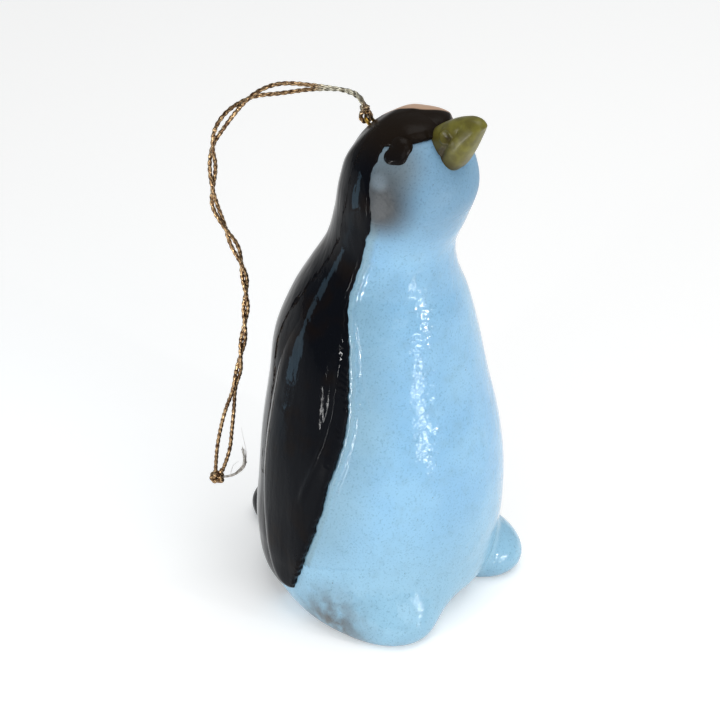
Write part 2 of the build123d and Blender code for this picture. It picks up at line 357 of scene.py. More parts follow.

# Black glaze: thick cobalt and manganese glaze, brushed on; mirror-glossy, runs downwards, brown where thin;
# a peach band on the crown's left is a painted warm reflection
BLACK_ROUGHNESS = (0.06, 0.28)
BROWN_HEAD_RADIUS = 12.0
# Painted warm reflection on the crown's left: its centre, radius, and the levels between which it comes in
CROWN_REFLECTION_CENTRE, CROWN_REFLECTION_RADIUS = (6.0, -5.8, 92.0), 7.7
CROWN_REFLECTION_LEVELS = (91.9, 92.8)
RUN_STRETCH = (1.0, 1.0, 0.22)
black_glaze, tree, shader = new_material("black_manganese_glaze")
place = add_node(tree, "ShaderNodeTexCoord")
thin_spots = noise_at(tree, place, 6.0)
thin_share = step_between(tree, thin_spots, "Fac", 0.5, 0.75)
black_tone = mix_colour(tree, thin_share, "#0b0d12", "#130e0d")
head = nearness(tree, place, HEAD_MIDDLE, BROWN_HEAD_RADIUS, 0.5)
black_tone = mix_colour(tree, head, black_tone, "#1f1812")
# Painted warm reflection: a peach band on the crown's left
crown_reflection_reach = nearness(tree, place, CROWN_REFLECTION_CENTRE, CROWN_REFLECTION_RADIUS, 0.93)
position = add_node(tree, "ShaderNodeSeparateXYZ", [(0, place, "Object")])
crown_reflection_height = step_between(tree, position, "Z", *(level * MM for level in CROWN_REFLECTION_LEVELS))
crown_reflection = product(tree, crown_reflection_reach, crown_reflection_height)
crown_reflection_tone = mix_colour(tree, thin_share, "#c7a489", "#a98468")
black_tone = mix_colour(tree, crown_reflection, black_tone, crown_reflection_tone)
coloured(tree, shader, black_tone)
duller_with(tree, shader, head, *BLACK_ROUGHNESS)
shader.inputs["IOR"].default_value = GLAZE_IOR
shader.inputs["Specular IOR Level"].default_value = 0.06
drawn_out = add_node(tree, "ShaderNodeMapping", [("Vector", place, "Object")], in_Scale=RUN_STRETCH)
runs = add_node(tree, "ShaderNodeTexNoise", [("Vector", drawn_out, "Vector")], in_Scale=cycles_per_mm(2.2),
                in_Detail=2.0)
pits = noise_at(tree, place, 0.7, 2.0)
bumped(tree, shader, [(runs, "Fac", 0.11), (pits, "Fac", 0.015)])

# Olive glaze: translucent iron glaze on the beak; amber where it pools, yellow-green where it is thin
olive_glaze, tree, shader = new_material("olive_iron_glaze")
place = add_node(tree, "ShaderNodeTexCoord")
pooled = add_node(tree, "ShaderNodeAttribute", attribute_name="pooling")
mottle = noise_at(tree, place, 1.6)
mottle_share = step_between(tree, mottle, "Fac", 0.35, 0.7)
olive_tone = mix_colour(tree, mottle_share, "#625c26", "#77722f")
olive_tone = mix_colour(tree, pooled, olive_tone, "#41371a")
coloured(tree, shader, olive_tone)
shader.inputs["Roughness"].default_value = 0.34
shader.inputs["Specular IOR Level"].default_value = 0.3
shader.inputs["IOR"].default_value = GLAZE_IOR
bumped(tree, shader, [(mottle, "Fac", 0.03)])

# Bare clay: the unglazed foot of the casting; matt and a little sandy
bare_clay, tree, shader = new_material("bare_white_clay")
place = add_node(tree, "ShaderNodeTexCoord")
sand = noise_at(tree, place, 0.5, 4.0)
sand_share = step_between(tree, sand, "Fac", 0.3, 0.7)
clay_tone = mix_colour(tree, sand_share, "#c9c4b8", "#ddd8cc")
coloured(tree, shader, clay_tone)
shader.inputs["Roughness"].default_value = 0.85
bumped(tree, shader, [(sand, "Fac", 0.05)])

# Brass wire: drawn, dulled in the kiln room's air
brass_wire, tree, shader = new_material("drawn_brass_wire")
place = add_node(tree, "ShaderNodeTexCoord")
tarnish = noise_at(tree, place, 0.8)
tarnish_share = step_between(tree, tarnish, "Fac", 0.35, 0.65)
brass_tone = mix_colour(tree, tarnish_share, "#b08a3e", "#6f5426")
coloured(tree, shader, brass_tone)
shader.inputs["Metallic"].default_value = 1.0
shader.inputs["Roughness"].default_value = 0.35
bumped(tree, shader, [(tarnish, "Fac", 0.01)])

# Gold cord: metallised foil wound round two cotton plies; glints between brown shadows, and is worn to
# silver near the hitch
WORN_CENTRE = BAR_POINT + OUT_AXIS * 3.8 + Vector((0, 0, 4.6))
WORN_RADIUS = 5.6
gold_cord, tree, shader = new_material("gold_foil_cord")
lay = add_node(tree, "ShaderNodeUVMap", uv_map="lay")
foil = add_node(tree, "ShaderNodeTexNoise", [("Vector", lay, "UV")], in_Scale=3.4, in_Detail=3.0)
foil_share = step_between(tree, foil, "Fac", 0.38, 0.66)
gold_tone = mix_colour(tree, foil_share, "#4c311d", "#caa87c")
place = add_node(tree, "ShaderNodeTexCoord")
worn = nearness(tree, place, WORN_CENTRE, WORN_RADIUS, 0.5)
silver_tone = mix_colour(tree, foil_share, "#5d5443", "#e3dec8")
gold_tone = mix_colour(tree, worn, gold_tone, silver_tone)
coloured(tree, shader, gold_tone)
shader.inputs["Metallic"].default_value = 0.85
shader.inputs["Roughness"].default_value = 0.26
bumped(tree, shader, [(foil, "Fac", 0.10)])

# Frayed core: undyed cotton fibres
pale_core, tree, shader = new_material("frayed_cotton_core")
place = add_node(tree, "ShaderNodeTexCoord")
fibre = noise_at(tree, place, 0.6)
fibre_share = step_between(tree, fibre, "Fac", 0.35, 0.65)
fibre_tone = mix_colour(tree, fibre_share, "#9a938a", "#cfcac2")
coloured(tree, shader, fibre_tone)
shader.inputs["Roughness"].default_value = 0.8
shader.inputs["Sheen Weight"].default_value = 0.3


# Shape of the body
def cubic_through(knots, values, at):
    """Smooth curve through the values, with each slope from the parabola through its neighbours."""
    step = np.diff(knots)[:, None]
    rise = np.diff(values, axis=0) / step
    slope = np.empty_like(values)
    slope[1:-1] = (rise[:-1] * step[1:] + rise[1:] * step[:-1]) / (step[1:] + step[:-1])
    slope[0] = 1.5 * rise[0] - 0.5 * slope[1]
    slope[-1] = 1.5 * rise[-1] - 0.5 * slope[-2]
    i = np.clip(np.searchsorted(knots, at, side="right") - 1, 0, len(step) - 1)
    t = ((at - knots[i]) / step[i, 0])[:, None]
    return (values[i] * (1 + 2 * t) * (1 - t) ** 2 + values[i + 1] * t * t * (3 - 2 * t)
            + slope[i] * step[i] * t * (1 - t) ** 2 - slope[i + 1] * step[i] * t * t * (1 - t))


def along(points):
    """Distance along a run of points at each of them."""
    return np.concatenate([[0.0], np.cumsum(np.linalg.norm(np.diff(points, axis=0), axis=1))])


SECTION_CLIMB = along(BODY_SECTIONS[:, [0, 2]])
CLIMB = np.linspace(0, SECTION_CLIMB[-1], 2400)
PROFILE = cubic_through(SECTION_CLIMB, BODY_SECTIONS, CLIMB)
PROFILE_SLOPE = np.gradient(PROFILE, CLIMB, axis=0)
LINE_AT = along(COLOUR_LINE)
LINE = cubic_through(LINE_AT, COLOUR_LINE, np.linspace(0, LINE_AT[-1], 600))


def climb_to(level):
    return np.interp(level, PROFILE[:, 0], CLIMB)


def section(climb, table=PROFILE):
    """Level, Y of the middle and half width at each climb, or the slopes of these."""
    return [np.interp(climb, CLIMB, column) for column in table.T]


def on_body(climb, turn, stand=0.0):
    """Point of the body, from climb along its profile, turn from front to left, and how far it stands off."""
    level, shift, half = section(climb)
    level_slope, shift_slope, half_slope = section(climb, PROFILE_SLOPE)
    s, c = np.sin(turn), np.cos(turn)
    point = np.stack([half * s, shift - half * DEPTH_SHARE * c, level + 0 * s], axis=-1)
    across = np.stack([half * c, half * DEPTH_SHARE * s, 0 * s], axis=-1)
    across += 1e-9 * np.stack([c, s, 0 * s], axis=-1)
    up = np.stack([half_slope * s, shift_slope - half_slope * DEPTH_SHARE * c, level_slope + 0 * s], axis=-1)
    normal = np.cross(across, up)
    normal /= np.linalg.norm(normal, axis=-1, keepdims=True) + 1e-12
    return point + normal * np.asarray(stand)[..., None]


def line_turn(climb):
    """Turn at which the colour line crosses each climb."""
    level, shift, half = section(climb)
    corner = COLOUR_LINE[-1]
    cap_y = corner[0] + (level - corner[1]) * (CAP_FRONT[0] - corner[0]) / (CAP_FRONT[1] - corner[1])
    line_y = np.where(level < corner[1], np.interp(level, LINE[:, 1], LINE[:, 0]), cap_y)
    return np.arccos(np.clip((shift - line_y) / (half * DEPTH_SHARE + 1e-9), -1, 1))


def wander(levels, size, seed):
    """Smooth hand-made unevenness along a line, from -1 to 1."""
    return np.array([noise.noise(Vector((level / size, seed, 0.5 * seed))) for level in levels])


def unevenness(points, size, stretch=1.0, seed=0.0):
    """Smooth unevenness over a surface, from about -1 to 1."""
    p = points / size + seed
    x, y, z = p[..., 0], p[..., 1], p[..., 2] / stretch
    return (np.sin(1.7 * x + 2.3 * z + np.sin(1.3 * y)) + np.sin(2.1 * y - 1.6 * z + 1.1 * np.sin(1.9 * x))
            + np.sin(1.2 * x - 1.9 * y + 2.8 * z)) / 3


def rounded(share):
    share = np.clip(share, 0, 1)
    return np.sqrt(1 - (1 - share) ** 2)


def eased(share):
    share = np.clip(share, 0, 1)
    return share * share * (3 - 2 * share)


def band(distance, height, at, width):
    """A soft band in relief, of that height and width, at that distance."""
    return height * np.exp(-((distance - at) / width) ** 2)


# Meshes
def mesh_piece(name, points, faces, material):
    """A smooth-shaded mesh object from points in millimetres."""
    mesh = bpy.data.meshes.new(name)
    mesh.from_pydata((np.asarray(points) * MM).tolist(), [], [tuple(face) for face in faces])
    shape = bmesh.new()
    shape.from_mesh(mesh)
    bmesh.ops.remove_doubles(shape, verts=shape.verts, dist=1e-7)
    bmesh.ops.dissolve_degenerate(shape, edges=shape.edges, dist=1e-7)
    shape.to_mesh(mesh)
    shape.free()
    for face in mesh.polygons:
        face.use_smooth = True
    mesh.materials.append(material)
    piece = bpy.data.objects.new(name, mesh)
    bpy.context.scene.collection.objects.link(piece)
    return piece


def grid_faces(rows, columns, closed=False):
    """Faces between rows of points; a closed row ends where it starts."""
    last = columns if closed else columns - 1
    return [(i * columns + j, i * columns + (j + 1) % columns,
             (i + 1) * columns + (j + 1) % columns, (i + 1) * columns + j)
            for i in range(rows - 1) for j in range(last)]


def reversed_faces(faces):
    return [face[::-1] for face in faces]


def belongs(piece, body, slot, *nodes):
    """Puts a piece on a body, in place of the nodes that it stands for; the slot is not used."""
    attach(piece, body)
    if nodes:
        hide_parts(*nodes)


def point_tree(points):
    """A tree that finds the nearest of these points."""
    tree = KDTree(len(points))
    for i, point in enumerate(points):
        tree.insert(point, i)
    tree.balance()
    return tree


def give_attribute(piece, name, values_of):
    """A value at each point of the mesh, from a function of its place in millimetres."""
    points = np.array([v.co for v in piece.data.vertices]) / MM
    layer = piece.data.attributes.new(name, "FLOAT", "POINT")
    layer.data.foreach_set("value", values_of(points).astype(np.float32))


# Rows of the body, close together at the foot and along the edge of the cap
row_levels = np.concatenate([
    np.arange(0.0, 4.0, 0.2),
    np.arange(4.0, 90.6, 0.45),
    np.arange(90.6, 94.0, 0.07),
    np.arange(94.0, 95.3, 0.1),
])
rows_climb = np.concatenate([climb_to(row_levels), np.linspace(climb_to(95.3), CLIMB[-1], 8)[1:]])
rows_level, _, rows_half = section(rows_climb)
open_front = line_turn(rows_climb)
edge_turn = {}
for side, seed in ((-1, 3.1), (1, 8.7)):
    drift = 0.7 * wander(rows_level, 2.6, seed) + 0.5 * wander(rows_level, 0.8, seed + 20)
    drift *= EDGE_WANDER * eased((93.7 - rows_level) / 3) / np.maximum(rows_half, 2.0) * 2
    edge_turn[side] = np.clip(open_front + np.where(open_front > 0, drift, 0), 0, math.pi)


def spread(fine):
    """Shares of a row from 0 to 1, close together at both ends."""
    return np.concatenate([fine, np.linspace(fine[-1], 1 - fine[-1], 150)[1:-1], 1 - fine[::-1]])


# White front, tucked a little way under the black, with the relief of its glaze beside the colour line
FRONT_TOP = 93.75
front_rows = rows_level < FRONT_TOP
front_climb, front_level, front_half = (rows[front_rows] for rows in (rows_climb, rows_level, rows_half))
right_line, left_line = -edge_turn[-1][front_rows], edge_turn[1][front_rows]
shares = spread(np.array([
    0.0, 0.004, 0.008, 0.012, 0.016, 0.02, 0.024, 0.028, 0.032, 0.036, 0.04, 0.045, 0.05, 0.056, 0.064, 0.074,
]))
climbs = front_climb[:, None] + 0 * shares
tuck = TUCK / np.maximum(front_half, 2.0)
right_turn, left_turn = right_line - tuck, left_line + tuck
turns = right_turn[:, None] + (left_turn - right_turn)[:, None] * shares
levels = front_level[:, None] + 0 * shares
from_line = np.minimum(turns - right_line[:, None], left_line[:, None] - turns) * front_half[:, None]
ridge_wander = wander(front_level, 7.0, 1.3)[:, None]
along_flank = eased((levels - 24) / 8) * eased((82 - levels) / 8)
ridge = band(from_line, *RIDGE)
groove = band(from_line - 0.35 * ridge_wander, *GROOVE)
branch_from = np.interp(levels, [44.0, 48.0, 51.0, 55.0], [4.6, 3.1, 2.2, 1.4])
branch = band(from_line - branch_from, *BRANCH) * eased((levels - 44) / 3) * eased((56 - levels) / 2)
relief = (ridge + groove) * along_flank + branch + 0.10 * unevenness(on_body(climbs, turns), 9.0)
relief -= 0.12 * (from_line < 0)
scratch_from, scratch_to = np.array(SCRATCH)
scratch_run = scratch_to - scratch_from
where = on_body(climbs, turns) - scratch_from
share_along = np.clip(where @ scratch_run / (scratch_run @ scratch_run), 0, 1)
from_scratch = np.linalg.norm(where - share_along[..., None] * scratch_run, axis=-1)
relief += band(from_scratch, *SCRATCH_LIPS) + band(from_scratch, *SCRATCH_GROOVE)
front_points = on_body(climbs, turns, relief)
front_points[0, :, 2] = 0.0
front_faces = grid_faces(front_points.shape[0], front_points.shape[1])
front = mesh_piece("white_front", front_points.reshape(-1, 3), front_faces, white_glaze)

# Points of the colour line, to find how far any other point is from it
line_tree = point_tree(np.concatenate([on_body(front_climb, line) for line in (right_line, left_line)]))


def off_line(points):
    """Distance of each point from the colour line."""
    return np.array([line_tree.find(p)[2] for p in points])


def edge_grey_and_flank_shade_of(points):
    """How far the white glaze is greyed: strong beside the line, and painted shade, faint, over the flank."""
    away = off_line(points)
    beside = 0.75 * eased((1.9 - away) / 1.0) * (points[:, 2] > 8) * (points[:, 2] < 82)
    # Painted shade over the flank, greying the white out to 11 mm from the line
    flank = 0.55 * eased((11.0 - away) / 9.0)
    flank *= eased((points[:, 2] - 10) / 12) * eased((72 - points[:, 2]) / 10)
    return np.maximum(beside, flank)


give_attribute(front, "edge_grey_and_flank_shade", edge_grey_and_flank_shade_of)
belongs(front, "figurine", "white_glaze", "front_shell")

# Bare base of the casting: rings from its outline to the vent, and on up into the vent
BASE_SPOKES = 120
spoke_turn = np.linspace(0, 2 * math.pi, BASE_SPOKES, endpoint=False)
outline = on_body(np.zeros(BASE_SPOKES), spoke_turn)
vent_centre = np.array([0.0, -VENT_FORWARD, 0.0])
vent_edge = np.stack([VENT_RADIUS * np.sin(spoke_turn), -VENT_FORWARD - VENT_RADIUS * np.cos(spoke_turn),
                      0 * spoke_turn], axis=-1)
rings = [outline] + [outline + (vent_edge - outline) * share for share in (0.25, 0.5, 0.75, 0.97, 1.0)]
for depth, share in ((0.2, 0.93), (1.5, 0.9), (FLOOR_THICKNESS, 0.9), (FLOOR_THICKNESS + 0.4, 0.0)):
    rings.append(vent_centre + (vent_edge - vent_centre) * share + np.array([0.0, 0.0, depth]))
base_faces = reversed_faces(grid_faces(len(rings), BASE_SPOKES, True))
base = mesh_piece("bare_base", np.concatenate(rings), base_faces, bare_clay)
belongs(base, "figurine", "white_glaze")

# Black back with its crown, standing proud along the colour line
shares = spread(np.array([
    0.0, 0.0006, 0.0014, 0.0024, 0.0036, 0.005, 0.0066, 0.0084, 0.0105, 0.013, 0.017, 0.022, 0.03,
]))
climbs = rows_climb[:, None] + 0 * shares
back_from, back_to = edge_turn[1], 2 * math.pi - edge_turn[-1]
turns = back_from[:, None] + (back_to - back_from)[:, None] * shares
bare_points = on_body(climbs, turns)
distance = off_line(bare_points.reshape(-1, 3)).reshape(turns.shape)
runs_down = 0.10 * unevenness(bare_points, 3.4, 6.0, 4.0) * eased(distance / 3)
crumbs = 0.07 * unevenness(bare_points, 0.45, 1.0, 2.0) * eased((2.2 - distance) / 2)
from_brow = np.linalg.norm(np.abs(bare_points) - np.array(BROW), axis=-1)
brow = BROW_SWELL * eased(1 - from_brow / BROW_RADIUS) * (bare_points[..., 1] < 0)
stand = EDGE_RISE * rounded(distance / EDGE_ROUND) + runs_down + crumbs + brow * eased(distance / 1.5) - 0.05
from_eye = np.linalg.norm(bare_points - np.array(BAR_POINT), axis=-1)
stand *= 1 - eased((FLUSH_RADIUS - from_eye) / FLUSH_WIDTH)
back_points = on_body(climbs, turns, stand)
back_points[..., 2] = np.maximum(back_points[..., 2], 0.0)
back = mesh_piece("black_back", back_points.reshape(-1, 3), grid_faces(*turns.shape), black_glaze)
belongs(back, "figurine", "black_glaze", "back_shell")


# Flippers
def flipper_points(side):
    """Points of a flipper, along it from its lower end (v) and across it from its front edge (t)."""
    v = np.linspace(0, 1, 220)
    t = np.concatenate([[0, 0.006, 0.014, 0.024, 0.036, 0.05, 0.07, 0.09], np.linspace(0.115, 1, 44)])
    front_at, back_at = along(FLIPPER_FRONT), along(FLIPPER_BACK)
    front_edge = cubic_through(front_at, FLIPPER_FRONT, v * front_at[-1])
    back_edge = cubic_through(back_at, FLIPPER_BACK, v * back_at[-1])
    inside = front_edge[:, None] * (1 - t)[None, :, None] + back_edge[:, None] * t[None, :, None]
    climb = climb_to(inside[..., 1])
    _, shift, half = section(climb)
    turn = np.arccos(np.clip((shift - inside[..., 0]) / (half * DEPTH_SHARE), -1, 1))
    edge_shift = np.interp(climb, rows_climb, edge_turn[side]) - np.interp(climb, rows_climb, open_front)
    turn = turn + edge_shift * (1 - t)[None, :] ** 4
    from_front = np.linalg.norm(inside - front_edge[:, None], axis=-1)
    from_back = np.linalg.norm(inside - back_edge[:, None], axis=-1)
    point = on_body(climb, side * turn)
    level = inside[..., 1]
    fold_at = np.interp(level, [26.0, 32.0, 40.0, 50.0, 56.0], [4.2, 3.4, 2.6, 2.0, 1.4])
    fold = band(from_front - fold_at, *FLIPPER_FOLD) * eased((level - 26) / 4) * eased((56 - level) / 5)
    swell = 0.12 * unevenness(point, 3.0, 6.0, 4.0) * eased(from_front / 2.5)
    crumb = 0.08 * unevenness(point, 0.45, 1.0, 2.0) * eased((1.8 - from_front) / 1.8)
    thick = np.interp(level, [20.0, 42.0, 60.0], [1.0, 0.85, 0.3])
    rise = FLIPPER_RISE * thick * rounded(from_front / 0.9) * eased(from_back / 4.5)
    ends = eased(v / 0.04) * eased((1 - v) / 0.2)
    stand = (rise + fold + swell * eased(from_back / 3) + crumb) * ends[:, None]
    stand = stand + 0.3 * thick * eased(from_back / 3) - 0.4 * (t < 0.003)
    return on_body(climb, side * turn, stand), turn.shape


for side, name in ((-1, "flipper_right"), (1, "flipper_left")):
    points, shape = flipper_points(side)
    faces = grid_faces(*shape) if side > 0 else reversed_faces(grid_faces(*shape))
    flipper = mesh_piece("black_" + name, points.reshape(-1, 3), faces, black_glaze)
    belongs(flipper, "figurine", "black_glaze", name)


# Lobes that grow out of the body: feet, tail and eyes. A distance of FAR means that nothing is near.
FAR = 99.0


def on_side(side, point):
    """A point given for the left, on the left or, mirrored, on the right."""
    return np.array([side * point[0], *point[1:]])


def off_body(points):
    """Rough distance of points from the body's surface, negative inside."""
    shift = np.interp(points[..., 2], PROFILE[:, 0], PROFILE[:, 1])
    half = np.interp(points[..., 2], PROFILE[:, 0], PROFILE[:, 2])
    reach = np.hypot(points[..., 0], (points[..., 1] - shift) / DEPTH_SHARE)
    return reach - half


def off_ellipsoid(points, centre, half_sizes):
    """Rough distance of points from an ellipsoid, negative inside."""
    away = (points - np.array(centre)) / np.array(half_sizes)
    steep = np.linalg.norm(away / np.array(half_sizes), axis=-1) + 1e-9
    length = np.linalg.norm(away, axis=-1)
    return length * (length - 1) / steep


def merged(first, second, soft):
    """Distance from two forms that flow together over that length."""
    h = np.clip(0.5 + 0.5 * (second - first) / soft, 0, 1)
    return second + (first - second) * h - soft * h * (1 - h)


# A ray that leaves no form ends this near to the centre
LOBE_CORE = 0.05


def lobe(centre, distance_of, reach, rings=90, spokes=150):
    """Points where rays from a centre leave a form, and the faces between them."""
    polar = np.linspace(0, math.pi, rings)[:, None]
    around = np.linspace(0, 2 * math.pi, spokes, endpoint=False)[None, :]
    rays = np.stack([np.sin(polar) * np.cos(around), np.sin(polar) * np.sin(around),
                     np.cos(polar) + 0 * around], axis=-1)
    steps = np.linspace(reach, LOBE_CORE, 160)
    best = np.full(rays.shape[:2], LOBE_CORE)
    found = np.zeros(rays.shape[:2], bool)
    before = distance_of(centre + rays * steps[0])
    for near, far in zip(steps[1:], steps[:-1]):
        now = distance_of(centre + rays * near)
        crossing = (now <= 0) & (before > 0) & ~found
        best = np.where(crossing, near + (far - near) * (-now) / np.maximum(before - now, 1e-9), best)
        found |= crossing
        before = now
    return centre + rays * best[..., None], grid_faces(rings, spokes, True)


def trimmed(points, faces, keep):
    """The points, none of them below the floor, and only the faces of which a corner is kept."""
    flat = points.reshape(-1, 3).copy()
    kept = keep(flat)
    flat[:, 2] = np.maximum(flat[:, 2], 0.0)
    return flat, [face for face in faces if kept[list(face)].any()]


def foot_field(side):
    """Distance from the body with one foot, and with the other foot where it comes near."""
    def field(points):
        foot, other = (off_ellipsoid(points, on_side(s, FOOT_CENTRE), FOOT_HALF_SIZES) for s in (side, -side))
        pair = merged(foot, np.where(side * points[..., 0] < 3, other, FAR), 1.5)
        return np.maximum(merged(off_body(points), pair, FOOT_SOFTNESS[side]), -points[..., 2])
    return field


for side, name in ((-1, "foot_right"), (1, "foot_left")):
    points, faces = lobe(on_side(side, FOOT_CORE), foot_field(side), 30.0, 150, 220)
    flat, faces = trimmed(points, faces,
                          lambda p: (off_body(p) > 0.02) & (side * p[:, 0] > -0.4) & (p[:, 1] < 6))
    foot = mesh_piece("white_" + name, flat, faces, white_glaze)
    give_attribute(foot, "edge_grey_and_flank_shade", lambda p: np.zeros(len(p)))
    belongs(foot, "figurine", "white_glaze", name)


def tail_field(points):
    tail = off_ellipsoid(points, TAIL_CENTRE, TAIL_HALF_SIZES)
    return np.maximum(merged(off_body(points) - 0.3, tail, 3.6), -points[..., 2])


points, faces = lobe(np.array(TAIL_CORE), tail_field, 24.0)
flat, faces = trimmed(points, faces, lambda p: (off_body(p) > 0.37) & (p[:, 1] > 10))
tail = mesh_piece("black_tail", flat, faces, black_glaze)
belongs(tail, "figurine", "black_glaze", "tail")


def eye_field(side):
    sunk = 0.0 if side < 0 else LEFT_EYE_SUNK

    def field(points):
        distance = np.full(points.shape[:-1], FAR)
        for (out, along_y, up), half_sizes in EYE_LUMPS:
            centre = HEAD_MIDDLE + on_side(side, (out - 0.6 * sunk, along_y, up - sunk))
            distance = merged(distance, off_ellipsoid(points, centre, half_sizes), 0.6)
        return distance
    return field


for side, name in ((-1, "eye_right"), (1, "eye_left")):
    points, faces = lobe(HEAD_MIDDLE + on_side(side, EYE_CORE), eye_field(side), 4.5, 50, 70)
    eye = mesh_piece("black_" + name, points.reshape(-1, 3), faces, black_glaze)
    belongs(eye, "figurine", "black_glaze", name)

# Beak: squarish rings along its axis, with the mouth and the nostrils pressed in, cut in two along the mouth
beak_axis = np.array([0.0, -math.cos(BEAK_PITCH), math.sin(BEAK_PITCH)])
beak_up = np.array([0.0, math.sin(BEAK_PITCH), math.cos(BEAK_PITCH)])
root_point = np.array([0.0, *BEAK_ROOT])
station_at = along(BEAK_STATIONS[:, [0, 2]])
stations = cubic_through(station_at, BEAK_STATIONS, np.linspace(0, station_at[-1], 120))
angle = np.linspace(0, 2 * math.pi, 140, endpoint=False)
across, rise = (np.sign(f) * np.abs(f) ** (2 / BEAK_SQUARENESS) for f in (np.cos(angle), np.sin(angle)))
heights = np.where(rise > 0, stations[:, 2, None], stations[:, 3, None])
reach = np.stack([stations[:, 1, None] * across, heights * rise], axis=-1)
distance_out = stations[:, 0, None] + 0 * angle
mouth_height = MOUTH_START[1] + (distance_out - MOUTH_START[0]) * math.tan(MOUTH_TILT)
from_mouth = reach[..., 1] - mouth_height
mouth = band(from_mouth, *MOUTH_GROOVE) * eased((distance_out + 1.5) / 2) * eased((7.2 - distance_out) / 2.5)
from_nostril = np.hypot(distance_out - NOSTRIL[0], reach[..., 1] - NOSTRIL[1])
dimple = band(from_nostril, *NOSTRIL_DIMPLE) + band(from_nostril, *NOSTRIL_RIM)
sink = 1 - (mouth + dimple) / np.maximum(np.hypot(*np.moveaxis(reach, -1, 0)), 0.4)
reach = reach * np.clip(sink, 0.3, 1.2)[..., None]
beak_points = (root_point + distance_out[..., None] * beak_axis + reach[..., 1, None] * beak_up
               + reach[..., 0, None] * np.array([1.0, 0.0, 0.0]))
mouth_point = root_point + beak_axis * MOUTH_START[0] + beak_up * MOUTH_START[1]
mouth_normal = beak_up * math.cos(MOUTH_TILT) - beak_axis * math.sin(MOUTH_TILT)


def pooling(points):
    """Where the beak's glaze pools: along the mouth and in the nostril."""
    out = (points - root_point) @ beak_axis
    height = (points - root_point) @ beak_up
    line = MOUTH_START[1] + (out - MOUTH_START[0]) * math.tan(MOUTH_TILT)
    mouth_share = np.exp(-((height - line - 0.25) / 0.7) ** 2) * eased((6.0 - out) / 3)
    nostril_share = np.exp(-(np.hypot(out - NOSTRIL[0], height - NOSTRIL[1]) / 0.5) ** 2)
    return np.clip(0.7 * mouth_share + 0.7 * nostril_share + 0.8 * eased((2.6 - out) / 3.5), 0, 1)


for name, keep_above in (("beak_upper", True), ("beak_lower", False)):
    faces = grid_faces(len(stations), len(angle), True)
    half = mesh_piece("olive_" + name, beak_points.reshape(-1, 3), faces, olive_glaze)
    cut = bmesh.new()
    cut.from_mesh(half.data)
    bmesh.ops.bisect_plane(cut, geom=cut.verts[:] + cut.edges[:] + cut.faces[:],
                           plane_co=Vector(mouth_point * MM), plane_no=Vector(mouth_normal),
                           clear_inner=keep_above, clear_outer=not keep_above)
    cut.to_mesh(half.data)
    cut.free()
    for face in half.data.polygons:
        face.use_smooth = True
    give_attribute(half, "pooling", pooling)
    belongs(half, "figurine", "olive_glaze", name)

# Hanging eye keeps its solid and gets a drawn brass finish
eye_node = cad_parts["hanging_eye"]
eye_node.data.materials.clear()
eye_node.data.materials.append(brass_wire)


# Cord
def on_cord(distance, height, depth=0.0):
    """Point of the cord's plane, in metres, counted from the hanging eye."""
    return (BAR_POINT + OUT_AXIS * distance + Vector((0, 0, height)) + BAR_AXIS * depth) * MM


def spline_line(points, smoothness=12):
    """Points along a smooth spline that has these control points, in metres."""
    curve = bpy.data.curves.new("route", "CURVE")
    curve.dimensions = "3D"
    curve.resolution_u = smoothness
    spline = curve.splines.new("NURBS")
    spline.points.add(len(points) - 1)
    for control, point in zip(spline.points, points):
        control.co = (*point, 1.0)
    spline.order_u = 3
    spline.use_endpoint_u = True
    holder = bpy.data.objects.new("route", curve)
    line = bpy.data.meshes.new_from_object(holder)
    path = [v.co.copy() for v in line.vertices]
    bpy.data.objects.remove(holder)
    bpy.data.curves.remove(curve)
    bpy.data.meshes.remove(line)
    return path


def even_steps(path, step):
    """The same line with points a step apart."""
    points = np.array(path)
    at = along(points)
    wanted = np.linspace(0, at[-1], max(int(at[-1] / step), 4))
    return np.stack([np.interp(wanted, at, points[:, i]) for i in range(3)], axis=-1)


# A direction that no cord or fibre starts along
OFF_AXIS = (0.31, 0.17, 0.93)


def twisted_tube(name, path, diameter, lay_length, ply_depth, material, sides=14, taper=0.0):
    """A tube of two plies that turn round each other once each lay length, along a path in metres."""
    path = np.asarray(path)
    at = along(path)
    heading = np.gradient(path, axis=0)
    heading /= np.linalg.norm(heading, axis=1, keepdims=True)
    normal = np.cross(heading[0], OFF_AXIS)
    rings = []
    for i, point in enumerate(path):
        normal = normal - heading[i] * (normal @ heading[i])
        normal /= np.linalg.norm(normal)
        other = np.cross(heading[i], normal)
        turn = 2 * math.pi * at[i] / lay_length
        theta = np.linspace(0, 2 * math.pi, sides, endpoint=False)
        size = 1 - taper * at[i] / at[-1]
        radius = diameter / 2 * size * (1 + ply_depth * np.cos(2 * (theta - turn)))
        spokes = np.cos(theta)[:, None] * normal + np.sin(theta)[:, None] * other
        rings.append(point + radius[:, None] * spokes)
    points = np.concatenate(rings + [path[:1], path[-1:]])
    faces = reversed_faces(grid_faces(len(path), sides, True))
    first, last = len(points) - 2, len(points) - 1
    end_ring = (len(path) - 1) * sides
    faces += [(first, j, (j + 1) % sides) for j in range(sides)]
    faces += [(last, end_ring + (j + 1) % sides, end_ring + j) for j in range(sides)]
    piece = mesh_piece(name, points / MM, faces, material)
    layer = piece.data.uv_layers.new(name="lay")
    tree = point_tree(path)
    for polygon in piece.data.polygons:
        for loop in polygon.loop_indices:
            place = piece.data.vertices[piece.data.loops[loop].vertex_index].co
            near = tree.find(place)[1]
            away = place - Vector(path[near])
            layer.data[loop].uv = (at[near] / lay_length, (away.z + away.x) / diameter)
    return piece


# Steps of the paths and length of one turn of the plies
STRAND_STEP = 0.13
KNOT_STEP = 0.1
FIBRE_STEP = 0.2
STRAND_LAY = 2.4

